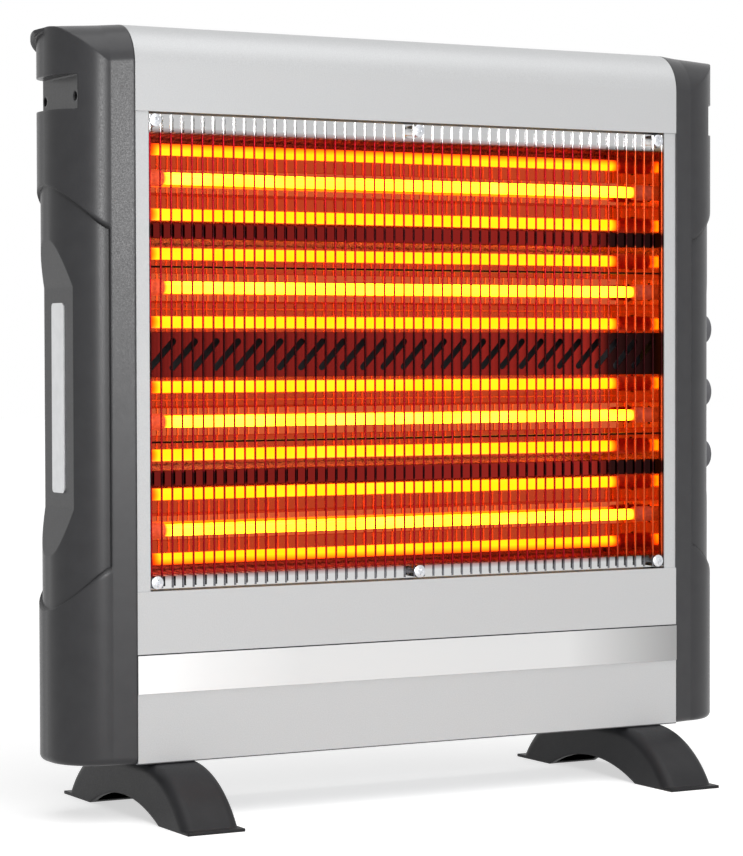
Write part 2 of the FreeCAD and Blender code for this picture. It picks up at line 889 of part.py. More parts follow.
def rear_screw_heights():
    """The rear screws' heights, spread evenly over the rear panel."""
    low = ground_clearance + 2 * rear_screw_inset
    step = (opening_top - rear_screw_inset - low) / (rear_screw_rows - 1)
    return [low + index * step for index in range(rear_screw_rows)]


def rear_panel():
    """The flat back sheet with two rows of upright vent slots and the hole of the cable gland."""
    panel = block(-half, half, back - sheet, back, ground_clearance, opening_top)
    cuts = []
    for z in (ground_clearance + vent_rise, opening_top - vent_drop - vent_slot_height):
        for index in range(vent_slot_count):
            x = (index - (vent_slot_count - 1) / 2) * vent_slot_pitch
            cuts.append(block(x - vent_slot_width / 2, x + vent_slot_width / 2, back - sheet, back,
                              z, z + vent_slot_height))
    for z in rear_screw_heights():
        for side in (-1, 1):
            x = side * (half - rear_screw_inset)
            cuts.append(rod(point(x, back - sheet, z), Y_AXIS, screw_radius + slip, sheet))
    cuts.append(rod(gland_place(), Y_AXIS, gland_radius, sheet))
    return panel.cut(Part.makeCompound(cuts))


def gland_place():
    return point(half - gland_inset, back - sheet, ground_clearance + gland_rise)


def cable_gland():
    """The bushing in the rear panel that the supply cord goes through."""
    start = gland_place()
    body = rod(start - Y_AXIS * gland_collar_length, Y_AXIS, gland_radius, gland_collar_length + sheet)
    outside = rod(start + Y_AXIS * sheet, Y_AXIS, gland_collar_radius, gland_collar_length)
    body = body.fuse(outside)
    bore_length = 2 * gland_collar_length + sheet
    bore = rod(start - Y_AXIS * gland_collar_length, Y_AXIS, gland_bore_radius, bore_length)
    return body.cut(bore)


def rear_screws():
    screws = []
    for z in rear_screw_heights():
        for side in (-1, 1):
            seat = point(side * (half - rear_screw_inset), back, z)
            screws.append(small_screw(seat, Y_AXIS, screw_reach))
    return Part.makeCompound(screws)


def cover_screws():
    """Two screws for each cover, deep in the holes of the grip recess."""
    right = []
    for y, z in boss_places():
        seat = point(half + cover_boss_seat, y, z)
        right.append(small_screw(seat, X_AXIS, cover_boss_seat + screw_reach))
    return Part.makeCompound(right + [mirrored(shape) for shape in right])


def foot_screw_places():
    x = half - foot_edge_inset - foot_width / 2
    return [(side * x, step * foot_screw_spacing / 2) for side in (-1, 1) for step in (-1, 1)]


def base_plate():
    """The bottom sheet, between the front and rear sheets."""
    plate = block(-half, half, front + sheet, back - sheet, ground_clearance, ground_clearance + sheet)
    for x, y in foot_screw_places():
        plate = plate.cut(rod(point(x, y, ground_clearance), Z_AXIS, screw_radius + running_gap, sheet))
    return plate


def foot_screws():
    """Screws from below, up through each foot's web into the base plate."""
    screws = []
    for x, y in foot_screw_places():
        seat = point(x, y, ground_clearance - foot_wall)
        screws.append(small_screw(seat, -Z_AXIS, foot_wall + screw_reach))
    return Part.makeCompound(screws)


def foot_profile(inset):
    """A foot's side outline above its flange: a flat top and a round toe at each end, drawn in by inset."""
    top = ground_clearance - inset
    radius = toe_radius - inset
    drop = top - foot_flange
    run = math.sqrt(radius ** 2 - (radius - drop) ** 2)
    flat = foot_flat / 2
    turn = math.asin(run / radius) / 2
    bend_y = flat + radius * math.sin(turn)
    bend_z = top - radius * (1 - math.cos(turn))
    ends = [point(0, -flat - run, foot_flange), point(0, flat + run, foot_flange)]
    edges = [
        arc(ends[0], point(0, -bend_y, bend_z), point(0, -flat, top)),
        line(point(0, -flat, top), point(0, flat, top)),
        arc(point(0, flat, top), point(0, bend_y, bend_z), ends[1]),
        line(ends[1], ends[0]),
    ]
    return Part.Face(Part.Wire(edges))


def foot():
    """The right foot: a hollow arch on two flat toes, each with a thin lip in front."""
    x1 = half - foot_edge_inset
    x0 = x1 - foot_width
    body = along_x(foot_profile(0), x0, x1)
    upper_edges = []
    for edge in body.Edges:
        box = edge.BoundBox
        lengthwise = box.XMax - box.XMin < slip
        if lengthwise and box.ZMax > foot_flange + slip:
            upper_edges.append(edge)
    body = body.makeFillet(foot_edge_round, upper_edges)
    body = body.fuse(block(x0, x1, -foot_length / 2, foot_length / 2, 0, foot_flange))
    body = body.cut(along_x(foot_profile(foot_wall), x0 + foot_wall, x1 - foot_wall))
    arch_half = foot_length / 2 - toe_pad
    arch_radius = (arch_half ** 2 + arch_height ** 2) / (2 * arch_height)
    arch_start = point(x0, 0, arch_height - arch_radius)
    body = body.cut(rod(arch_start, X_AXIS, arch_radius, foot_width))
    for x, y in foot_screw_places():
        if x > 0:
            start = point(x, y, ground_clearance - foot_wall)
            body = body.cut(rod(start, Z_AXIS, screw_radius + running_gap, foot_wall))
    return body.removeSplitter()


def save(name, shape):
    shape.exportStep("parts/" + name + ".step")


def save_pair(name, right_shape):
    save("right_" + name, right_shape)
    save("left_" + name, mirrored(right_shape))


def main():
    os.makedirs("parts", exist_ok=True)
    save("top_panel", top_panel())
    save("lower_front_panel", lower_front_panel())
    trim_z = ground_clearance + trim_rise
    save("trim_strip", block(-half, half, front - trim_thickness, front, trim_z, trim_z + trim_height))
    save_pair("side_strip", side_strip())
    save("rear_panel", rear_panel())
    save("base_plate", base_plate())
    plate = chassis_plate()
    save("right_chassis_plate", with_wire_hole(plate, supply_wire_y))
    save("left_chassis_plate", with_wire_hole(mirrored(plate), tube_y))
    save_pair("reflector_end", reflector_end())
    save("upper_reflector", upper_reflector())
    save("lower_reflector", lower_reflector())
    save("vent_strip", vent_strip())
    blank_cover = end_cover()
    save("right_end_cover", right_cover(blank_cover))
    save("left_end_cover", mirrored(blank_cover))
    save("side_plate", rounded_plate())
    for index, z in enumerate(tube_heights, 1):
        save("quartz_tube_" + str(index), quartz_tube(z))
        save("heating_coil_" + str(index), heating_coil(z))
    right_caps, left_caps = both_sides(ceramic_cap)
    save("right_ceramic_caps", Part.makeCompound(right_caps))
    save("left_ceramic_caps", Part.makeCompound(left_caps))
    right_pins, left_pins = both_sides(tube_pin)
    save("tube_terminals", Part.makeCompound(right_pins + left_pins))
    right_nuts = [pin_nut(z, cap_end) for z in tube_heights]
    left_nuts = [mirrored(pin_nut(z, cap_end + bus_thickness)) for z in tube_heights]
    save("terminal_nuts", Part.makeCompound(right_nuts + left_nuts))
    save("bus_bar", bus_bar())
    save("guard_grille", guard_grille())
    save("guard_spacers", guard_spacers())
    save("guard_screws", guard_screws())
    for name, place in zip(("top", "middle", "bottom"), switch_places()):
        save(name + "_knob", knob(place))
        save(name + "_knob_shaft", knob_shaft(place))
        save(name + "_rotary_switch", rotary_switch(place))
    save("switch_nuts", Part.makeCompound([switch_nut(place) for place in switch_places()]))
    save("switch_wiring", switch_wiring())
    save("terminal_block", terminal_block())
    save("supply_wire", supply_wire())
    save("return_wire", return_wire())
    save("wire_grommets", wire_grommets())
    save("cable_gland", cable_gland())
    save("rear_screws", rear_screws())
    save("cover_screws", cover_screws())
    save_pair("foot", foot())
    save("foot_screws", foot_screws())


main()
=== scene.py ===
import math

import bpy
import numpy as np
from mathutils import Matrix, Vector


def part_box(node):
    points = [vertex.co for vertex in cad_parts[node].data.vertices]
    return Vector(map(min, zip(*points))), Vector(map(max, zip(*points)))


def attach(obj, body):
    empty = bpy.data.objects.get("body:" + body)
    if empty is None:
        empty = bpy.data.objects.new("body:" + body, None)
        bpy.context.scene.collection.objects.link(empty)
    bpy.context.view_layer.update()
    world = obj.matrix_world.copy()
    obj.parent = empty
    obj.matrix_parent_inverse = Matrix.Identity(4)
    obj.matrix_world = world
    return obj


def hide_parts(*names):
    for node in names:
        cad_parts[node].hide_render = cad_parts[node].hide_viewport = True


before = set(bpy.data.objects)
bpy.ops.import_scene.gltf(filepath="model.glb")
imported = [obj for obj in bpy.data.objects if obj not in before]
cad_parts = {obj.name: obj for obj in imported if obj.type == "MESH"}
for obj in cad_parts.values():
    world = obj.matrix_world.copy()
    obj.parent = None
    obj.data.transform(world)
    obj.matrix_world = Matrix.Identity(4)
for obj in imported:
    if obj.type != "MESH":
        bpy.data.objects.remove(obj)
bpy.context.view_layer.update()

MM = 0.001

# Camera, worked out from the photograph: place and angles in the part's frame
CAMERA_PLACE = (-1.0519, -1.8925, 0.3336)
CAMERA_YAW = math.radians(28.65)
CAMERA_PITCH = math.radians(1.47)
CAMERA_ROLL = math.radians(0.14)
CAMERA_LENS = 119.27
SENSOR_WIDTH = 36.0

# Light: a white backdrop with a soft fill, a broad sky light from above and a softbox in front
FLOOR_REACH = 12.0
FLOOR_LIFT = 0.6
FILL_LEVEL = 0.15
SKY_PLACE = (0.0, 0.0, 3.0)
SKY_LEVEL = 1.9
SKY_SPREAD = math.radians(65)
SKY_HEADING = (0.0, 0.36, -0.93)
SOFTBOX_PLACE = (-0.25, -2.3, 0.62)
SOFTBOX_AIM = (0.0, 0.0, 0.35)
SOFTBOX_WIDTH = 0.45
SOFTBOX_HEIGHT = 0.6
SOFTBOX_POWER = 24.0

# The heated zone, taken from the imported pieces
STRIP_LOW, STRIP_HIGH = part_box("vent_strip")
_, REFLECTOR_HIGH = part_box("upper_reflector")
_, LEFT_CAPS_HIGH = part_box("left_ceramic_caps")
RIDGE_Y = STRIP_LOW.y
CHANNEL_Y = REFLECTOR_HIGH.y
OPENING_HALF = STRIP_HIGH.x
LIT_HALF = -LEFT_CAPS_HIGH.x
HEAT_CENTRE = (STRIP_LOW.z + STRIP_HIGH.z) / 2
HEATED_HALF = 160.5 * MM
HEATED_FADE = 2.5 * MM

# Where the reflectors' painted glow and shade change colour: shares of the heated half height for the outer
# edges and of the channel depth for the front folds
RIM_START, RIM_FULL = 0.92, 0.945
FOLD_START, FOLD_FULL = 0.01, 0.02

# Limits on the Y part of a face's normal: faces that look forwards or sideways, and cut edges to the front
FRONT_LIMIT = 0.1
CUT_EDGE_LIMIT = -0.9

# Glow of the tubes, of their cool ends and of the line of light on the rear of the guard wires
TUBE_GLOW = 8.0
COOL_GLOW = 1.0
COOL_END = 7 * MM
WIRE_GLOW = 4.0
WIRE_REAR_START, WIRE_REAR_FULL = 0.9, 0.97
CROSS_WIRE_Y = -40.5 * MM

# The lower panel's seam above the trim and its folded lower edge, both darkened with painted shade
PANEL_LOW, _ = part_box("lower_front_panel")
_, TRIM_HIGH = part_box("trim_strip")
SEAM_WIDTH = 0.8 * MM
FOLD_HEIGHT = 0.8 * MM

# How far the grain of moulded plastic moves its roughness either way
GRAIN_ROUGHNESS = 0.06

# Guard screws: a domed head with a cross recess on a plain shank
SCREW_LOW, SCREW_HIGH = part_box("guard_screws")
HEAD_RADIUS = 4.6 * MM
HEAD_RIM = 0.7 * MM
HEAD_RISE = 1.6 * MM
SHANK_RADIUS = 1.9 * MM
RECESS_REACH = 2.5 * MM
RECESS_HALF = 0.55 * MM
RECESS_EDGE = 0.25 * MM
RECESS_DEPTH = 0.8 * MM
SCREW_SPOKES = 48
DOME_RINGS = 14
SCREW_RINGS = DOME_RINGS + 3


def srgb(code):
    """An sRGB hex colour as linear red, green, blue and alpha."""
    channels = np.array([int(code[start:start + 2], 16) for start in (1, 3, 5)]) / 255
    linear = np.where(channels <= 0.04045, channels / 12.92, ((channels + 0.055) / 1.055) ** 2.4)
    return (*linear.tolist(), 1.0)


def per_mm(size_mm):
    """A texture scale whose pattern repeats about every size_mm."""
    return 1 / (size_mm * MM)


def add(tree, kind, inputs=None, out=0, stops=(), **settings):
    """Adds a node with its settings, ramp stops and inputs, set or linked, and gives back one output."""
    node = tree.nodes.new(kind)
    for name, value in settings.items():
        setattr(node, name, value)
    for key, value in (inputs or {}).items():
        if isinstance(value, bpy.types.NodeSocket):
            tree.links.new(value, node.inputs[key])
        else:
            node.inputs[key].default_value = value
    for index, (place, code) in enumerate(stops):
        elements = node.color_ramp.elements
        element = elements[index] if index < len(elements) else elements.new(1.0)
        element.position = place
        element.color = srgb(code)
    return node.outputs[out] if node.outputs else None


def start(name):
    """A new material with its node tree and Object coordinates."""
    material = bpy.data.materials.new(name)
    material.use_nodes = True
    tree = material.node_tree
    tree.nodes.clear()
    return material, tree, add(tree, "ShaderNodeTexCoord", out="Object")


def moulded_abs(name, light, dark, roughness, gloss):
    """Moulded plastic from a spark-eroded tool: a matt grain that breaks up the highlight, faint mottling
    and rounded edges."""
    material, tree, coords = start(name)
    mottle = add(tree, "ShaderNodeTexNoise", {"Vector": coords, "Scale": per_mm(14), "Detail": 4.0})
    colour = add(tree, "ShaderNodeValToRGB", {"Fac": mottle}, stops=[(0.3, dark), (0.7, light)])
    # The grain is drawn coarser than the real one, about 0.2 mm, so that it shows at this distance
    grain = add(tree, "ShaderNodeTexNoise", {"Vector": coords, "Scale": per_mm(0.9), "Detail": 2.0})
    rough = add(tree, "ShaderNodeMapRange", {
        "Value": grain, "From Min": 0.3, "From Max": 0.7,
        "To Min": roughness - GRAIN_ROUGHNESS, "To Max": roughness + GRAIN_ROUGHNESS})
    edges = add(tree, "ShaderNodeBevel", {"Radius": 2.5 * MM}, samples=8)
    bump = add(tree, "ShaderNodeBump", {
        "Height": grain, "Strength": 0.12, "Distance": 0.08 * MM, "Normal": edges})
    shader = add(tree, "ShaderNodeBsdfPrincipled", {
        "Base Color": colour, "Roughness": rough, "Normal": bump, "Specular IOR Level": gloss})
    add(tree, "ShaderNodeOutputMaterial", {"Surface": shader})
    return material


def silver_paint():
    """Satin silver paint on sheet steel: a pale even grey with fine flake, a faint orange peel and soft
    folds, with painted shade dark inside the seam above the trim and darker along the folded lower edge."""
    material, tree, coords = start("satin_silver_paint_on_steel")
    # The flake is drawn coarser than the real one, under 0.1 mm, so that it shows at this distance
    flake = add(tree, "ShaderNodeTexNoise", {"Vector": coords, "Scale": per_mm(0.8), "Detail": 1.0})
    colour = add(tree, "ShaderNodeValToRGB", {"Fac": flake}, stops=[(0.25, "#BDBEBF"), (0.75, "#C7C8C9")])
    height = add(tree, "ShaderNodeSeparateXYZ", {"Vector": coords}, out="Z")
    back = add(tree, "ShaderNodeSeparateXYZ", {"Vector": coords}, out="Y")
    # Painted shade: a dark line on the floor of the seam groove above the trim
    level = add(tree, "ShaderNodeMath", {0: height, 1: TRIM_HIGH.z + SEAM_WIDTH / 2, 2: SEAM_WIDTH},
                operation="COMPARE")
    sunk = add(tree, "ShaderNodeMath", {0: back, 1: PANEL_LOW.y + SEAM_WIDTH / 4},
               operation="GREATER_THAN")
    seam = add(tree, "ShaderNodeMath", {0: level, 1: sunk}, operation="MULTIPLY")
    colour = add(tree, "ShaderNodeMix", {"Factor": seam, "A": colour, "B": srgb("#2C2C2E")}, out="Result",
                 data_type="RGBA")
    # Painted shade: a darker strip along the folded lower edge
    fold = add(tree, "ShaderNodeMath", {0: height, 1: PANEL_LOW.z + FOLD_HEIGHT}, operation="LESS_THAN")
    colour = add(tree, "ShaderNodeMix", {"Factor": fold, "A": colour, "B": srgb("#5A5A5C")}, out="Result",
                 data_type="RGBA")
    peel = add(tree, "ShaderNodeTexNoise", {"Vector": coords, "Scale": per_mm(2.5), "Detail": 1.0})
    edges = add(tree, "ShaderNodeBevel", {"Radius": 0.5 * MM}, samples=4)
    bump = add(tree, "ShaderNodeBump", {
        "Height": peel, "Strength": 0.1, "Distance": 0.05 * MM, "Normal": edges})
    shader = add(tree, "ShaderNodeBsdfPrincipled", {
        "Base Color": colour, "Roughness": 0.42, "Metallic": 0.2, "Normal": bump,
        "Specular IOR Level": 0.25})
    add(tree, "ShaderNodeOutputMaterial", {"Surface": shader})
    return material


def bright_trim():
    """Bright rolled aluminium strip: nearly a mirror with a fine lengthwise grain, and a painted reflection
    that is paler towards the left and darker at the right end.
    """
    material, tree, coords = start("bright_rolled_aluminium_trim")
    low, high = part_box("trim_strip")
    # Painted reflection: the strip is paler towards the left and darker at the right end
    across = add(tree, "ShaderNodeSeparateXYZ", {"Vector": coords}, out="X")
    along = add(tree, "ShaderNodeMapRange", {"Value": across, "From Min": low.x, "From Max": high.x})
    colour = add(tree, "ShaderNodeValToRGB", {"Fac": along}, stops=[
        (0.0, "#ECECEC"), (0.12, "#DEDEDE"), (0.28, "#D2D2D2"), (0.78, "#D2D2D2"), (1.0, "#989898")])
    stretched = add(tree, "ShaderNodeMapping", {"Vector": coords, "Scale": (0.02, 1.0, 1.0)})
    # The grain is drawn coarser than the real one, about 0.1 mm, so that it shows at this distance
    grain = add(tree, "ShaderNodeTexNoise", {"Vector": stretched, "Scale": per_mm(0.7), "Detail": 2.0})
    bump = add(tree, "ShaderNodeBump", {"Height": grain, "Strength": 0.08, "Distance": 0.02 * MM})
    shader = add(tree, "ShaderNodeBsdfPrincipled", {
        "Base Color": colour, "Metallic": 1.0, "Roughness": 0.22, "Normal": bump})
    add(tree, "ShaderNodeOutputMaterial", {"Surface": shader})
    return material


def from_heat_centre(tree, coords):
    """The height above or below the middle of the heated zone, as a share of half its height."""
    height = add(tree, "ShaderNodeSeparateXYZ", {"Vector": coords}, out="Z")
    offset = add(tree, "ShaderNodeMath", {0: height, 1: HEAT_CENTRE}, operation="SUBTRACT")
    away = add(tree, "ShaderNodeMath", {0: offset}, operation="ABSOLUTE")
    return add(tree, "ShaderNodeMath", {0: away, 1: HEATED_HALF}, operation="DIVIDE")


def heat_mask(tree, coords):
    """One inside the heated zone, nothing beyond its upper and lower ends, with a short soft edge."""
    soft = HEATED_FADE / HEATED_HALF
    return add(tree, "ShaderNodeMapRange", {
        "Value": from_heat_centre(tree, coords), "From Min": 1 - soft, "From Max": 1 + soft,
        "To Min": 1.0, "To Max": 0.0})


def along_opening(tree, coords):
    """The place along the opening, from nothing at its left end to one at its right end."""
    across = add(tree, "ShaderNodeSeparateXYZ", {"Vector": coords}, out="X")
    return add(tree, "ShaderNodeMapRange", {
        "Value": across, "From Min": -OPENING_HALF, "From Max": OPENING_HALF})


def maroon(tree, coords):
    """The painted red glow of the tubes' light on the front folds along the opening: deep maroon, with
    painted shade nearly black past the lit part on the right."""
    return add(tree, "ShaderNodeValToRGB", {"Fac": along_opening(tree, coords)}, stops=[
        (0.0, "#6E1C18"), (0.5, "#86211D"), (0.86, "#96261F"), (0.9, "#2A1211"), (1.0, "#200D0D")])


def reflector_with_painted_glow():
    """Bright rolled aluminium sheet round hot tubes: a mirror with the tubes' light painted in, a red glow on
    the slopes and floors of its channels, painted maroon glow on its front folds, painted darker shade along
    its outer edges, and bare at the flanges and behind."""
    material, tree, coords = start("bright_aluminium_reflector_painted_glow")
    back = add(tree, "ShaderNodeSeparateXYZ", {"Vector": coords}, out="Y")
    depth = add(tree, "ShaderNodeMapRange", {"Value": back, "From Min": RIDGE_Y, "From Max": CHANNEL_Y})
    # Painted glow of the tubes' light: orange red on the slopes, deeper red on the floors, and painted shade
    # in darker red along the outer edges
    channel = add(tree, "ShaderNodeValToRGB", {"Fac": depth}, stops=[
        (0.0, "#D88060"), (0.94, "#D88060"), (0.95, "#CC5630"), (1.0, "#CC5630")])
    rim = add(tree, "ShaderNodeMapRange", {
        "Value": from_heat_centre(tree, coords), "From Min": RIM_START, "From Max": RIM_FULL})
    channel = add(tree, "ShaderNodeMix", {"Factor": rim, "A": channel, "B": srgb("#8E3025")}, out="Result",
                  data_type="RGBA")
    behind = add(tree, "ShaderNodeMapRange", {
        "Value": depth, "From Min": FOLD_START, "From Max": FOLD_FULL})
    red = add(tree, "ShaderNodeMix", {"Factor": behind, "A": maroon(tree, coords), "B": channel},
              out="Result", data_type="RGBA")
    normal = add(tree, "ShaderNodeTexCoord", out="Normal")
    facing = add(tree, "ShaderNodeSeparateXYZ", {"Vector": normal}, out="Y")
    front = add(tree, "ShaderNodeMath", {0: facing, 1: FRONT_LIMIT}, operation="LESS_THAN")
    hot = add(tree, "ShaderNodeMath", {0: heat_mask(tree, coords), 1: front}, operation="MULTIPLY")
    base = add(tree, "ShaderNodeMix", {"Factor": hot, "A": srgb("#C4C4C4"), "B": red}, out="Result",
               data_type="RGBA")
    shader = add(tree, "ShaderNodeBsdfPrincipled", {"Base Color": base, "Metallic": 1.0, "Roughness": 0.06})
    add(tree, "ShaderNodeOutputMaterial", {"Surface": shader})
    return material


def polished_end():
    """Polished aluminium end sheet: a mirror with a painted warm glow of the tubes' light, which shows the
    tubes' bands again, with painted dull red light on its cut edges to the front."""
    material, tree, coords = start("polished_aluminium_end_painted_glow")
    normal = add(tree, "ShaderNodeTexCoord", out="Normal")
    facing = add(tree, "ShaderNodeSeparateXYZ", {"Vector": normal}, out="Y")
    # Painted light: a warm glow over the mirror and dull red on the cut edges to the front
    edge = add(tree, "ShaderNodeMath", {0: facing, 1: CUT_EDGE_LIMIT}, operation="LESS_THAN")
    warm = add(tree, "ShaderNodeMix", {"Factor": edge, "A": srgb("#E8B058"), "B": srgb("#7A2616")},
               out="Result", data_type="RGBA")
    base = add(tree, "ShaderNodeMix", {
        "Factor": heat_mask(tree, coords), "A": srgb("#C4C4C4"), "B": warm}, out="Result", data_type="RGBA")
    shader = add(tree, "ShaderNodeBsdfPrincipled", {"Base Color": base, "Metallic": 1.0, "Roughness": 0.1})
    add(tree, "ShaderNodeOutputMaterial", {"Surface": shader})
    return material


def glowing_quartz():
    """Drawn quartz tube round a bright coil: a clear yellow glow with paler stretches, orange at its cool
    ends."""
    material, tree, coords = start("drawn_quartz_tube_glowing")
    stretches = add(tree, "ShaderNodeTexNoise", {"Vector": coords, "Scale": per_mm(45), "Detail": 2.0})
    yellow = add(tree, "ShaderNodeValToRGB", {"Fac": stretches}, stops=[
        (0.45, "#FFBE14"), (0.7, "#FFC826")])
    across = add(tree, "ShaderNodeSeparateXYZ", {"Vector": coords}, out="X")
    reach = add(tree, "ShaderNodeMath", {0: across}, operation="ABSOLUTE")
    cool = add(tree, "ShaderNodeMapRange", {
        "Value": reach, "From Min": LIT_HALF - COOL_END, "From Max": LIT_HALF})
    colour = add(tree, "ShaderNodeMix", {"Factor": cool, "A": yellow, "B": srgb("#FF5A10")}, out="Result",
                 data_type="RGBA")
    level = add(tree, "ShaderNodeMapRange", {"Value": cool, "To Min": TUBE_GLOW, "To Max": COOL_GLOW})
    shader = add(tree, "ShaderNodeBsdfPrincipled", {
        "Base Color": srgb("#40300C"), "Roughness": 0.1, "Emission Color": colour,
        "Emission Strength": level, "Specular IOR Level": 0.2})
    add(tree, "ShaderNodeOutputMaterial", {"Surface": shader})
    return material


def ceramic_with_painted_glow(name, light, dark, glow):
    """Pressed steatite cap at a hot tube's end: matt and mottled, with the tubes' red light painted into its
    colour and a painted dull glow.
    """
    material, tree, coords = start(name)
    mottle = add(tree, "ShaderNodeTexNoise", {"Vector": coords, "Scale": per_mm(3), "Detail": 3.0})
    colour = add(tree, "ShaderNodeValToRGB", {"Fac": mottle}, stops=[(0.35, dark), (0.65, light)])
    # Painted light: the red colour and the emission stand in for the tubes' light on the cap
    shader = add(tree, "ShaderNodeBsdfPrincipled", {
        "Base Color": colour, "Roughness": 0.6, "Specular IOR Level": 0.3, "Emission Color": srgb(light),
        "Emission Strength": glow})
    add(tree, "ShaderNodeOutputMaterial", {"Surface": shader})
    return material


def guard_wire():
    """Bright zinc-plated drawn wire with painted light and shade: painted shade at its lower ends, a painted
    crimson glow before the hot channels, orange towards the right end, painted dark shade before the ridges,
    and a thin painted line of light on the side that faces the channels."""
    material, tree, coords = start("bright_zinc_plated_wire")
    height = add(tree, "ShaderNodeSeparateXYZ", {"Vector": coords}, out="Z")
    # Painted shade: the wires below the heated zone are darker than those above it
    upper = add(tree, "ShaderNodeMath", {0: height, 1: HEAT_CENTRE}, operation="GREATER_THAN")
    plain = add(tree, "ShaderNodeMix", {"Factor": upper, "A": srgb("#6A6A6E"), "B": srgb("#F0F0F0")},
                out="Result", data_type="RGBA")
    # Painted glow of the tubes' light: crimson, orange towards the right end
    crimson = add(tree, "ShaderNodeValToRGB", {"Fac": along_opening(tree, coords)}, stops=[
        (0.0, "#86101A"), (0.86, "#86101A"), (0.92, "#A8421F"), (1.0, "#A8421F")])
    # Painted shade: nearly black before the slotted strip, the ridges and the outer edges, and on the cross
    # wires behind the uprights
    channels = add(tree, "ShaderNodeValToRGB", {"Fac": from_heat_centre(tree, coords)}, stops=[
        (0.0, "#000000"), (0.10, "#000000"), (0.12, "#FFFFFF"), (0.51, "#FFFFFF"), (0.53, "#000000"),
        (0.58, "#000000"), (0.60, "#FFFFFF"), (0.97, "#FFFFFF"), (1.0, "#000000")])
    back = add(tree, "ShaderNodeSeparateXYZ", {"Vector": coords}, out="Y")
    upright = add(tree, "ShaderNodeMath", {0: back, 1: CROSS_WIRE_Y}, operation="LESS_THAN")
    bright = add(tree, "ShaderNodeMath", {0: channels, 1: upright}, operation="MULTIPLY")
    hot = add(tree, "ShaderNodeMix", {"Factor": bright, "A": srgb("#24080A"), "B": crimson}, out="Result",
              data_type="RGBA")
    base = add(tree, "ShaderNodeMix", {"Factor": heat_mask(tree, coords), "A": plain, "B": hot},
               out="Result", data_type="RGBA")
    # Painted light: a glowing line on the rear side that faces the channels
    normal = add(tree, "ShaderNodeTexCoord", out="Normal")
    facing = add(tree, "ShaderNodeSeparateXYZ", {"Vector": normal}, out="Y")
    rear = add(tree, "ShaderNodeMapRange", {
        "Value": facing, "From Min": WIRE_REAR_START, "From Max": WIRE_REAR_FULL, "To Max": WIRE_GLOW})
    lit = add(tree, "ShaderNodeMath", {0: channels, 1: rear}, operation="MULTIPLY")
    shader = add(tree, "ShaderNodeBsdfPrincipled", {
        "Base Color": base, "Metallic": 1.0, "Roughness": 0.25, "Emission Color": srgb("#FFDC98"),
        "Emission Strength": lit})
    add(tree, "ShaderNodeOutputMaterial", {"Surface": shader})
    return material


def painted_sheet(name, light, dark):
    """Semi-matt stove enamel on sheet steel: an even dark grey with a faint orange peel and soft edges."""
    material, tree, coords = start(name)
    cloud = add(tree, "ShaderNodeTexNoise", {"Vector": coords, "Scale": per_mm(30), "Detail": 3.0})
    colour = add(tree, "ShaderNodeValToRGB", {"Fac": cloud}, stops=[(0.35, dark), (0.65, light)])
    peel = add(tree, "ShaderNodeTexNoise", {"Vector": coords, "Scale": per_mm(2), "Detail": 1.0})
    edges = add(tree, "ShaderNodeBevel", {"Radius": 0.4 * MM}, samples=4)
    bump = add(tree, "ShaderNodeBump", {
        "Height": peel, "Strength": 0.15, "Distance": 0.05 * MM, "Normal": edges})
    shader = add(tree, "ShaderNodeBsdfPrincipled", {
        "Base Color": colour, "Roughness": 0.5, "Normal": bump, "Specular IOR Level": 0.3})
    add(tree, "ShaderNodeOutputMaterial", {"Surface": shader})
    return material


def plain_metal(name, light, dark, roughness, patch_mm):
    """Plain sheet or turned metal: soft patches of two close shades from the rolling or the plating."""
    material, tree, coords = start(name)
    patches = add(tree, "ShaderNodeTexNoise", {"Vector": coords, "Scale": per_mm(patch_mm), "Detail": 3.0})
    colour = add(tree, "ShaderNodeValToRGB", {"Fac": patches}, stops=[(0.35, dark), (0.65, light)])
    shader = add(tree, "ShaderNodeBsdfPrincipled", {
        "Base Color": colour, "Metallic": 1.0, "Roughness": roughness})
    add(tree, "ShaderNodeOutputMaterial", {"Surface": shader})
    return material


def slotted_strip():
    """Steel strip between the reflectors: the tubes' red light painted in as a dull maroon sheen, and painted
    shade past the lit part.
    """
    material, tree, coords = start("steel_strip_with_painted_red_glow")
    shader = add(tree, "ShaderNodeBsdfPrincipled", {
        "Base Color": maroon(tree, coords), "Metallic": 1.0, "Roughness": 0.3})
    add(tree, "ShaderNodeOutputMaterial", {"Surface": shader})
    return material


def screw_profile():
    """Radii and depths down the head and shank: a low dome, a short rim, the seat and a plain shank."""
    dome = np.linspace(0, 1, DOME_RINGS + 1)[1:]
    radii = np.concatenate([dome * HEAD_RADIUS, [HEAD_RADIUS, SHANK_RADIUS, SHANK_RADIUS]])
    crown = (HEAD_RISE - HEAD_RIM) * dome ** 2
    depths = np.concatenate([crown, [HEAD_RISE, HEAD_RISE, SCREW_HIGH.y - SCREW_LOW.y]])
    return radii, depths


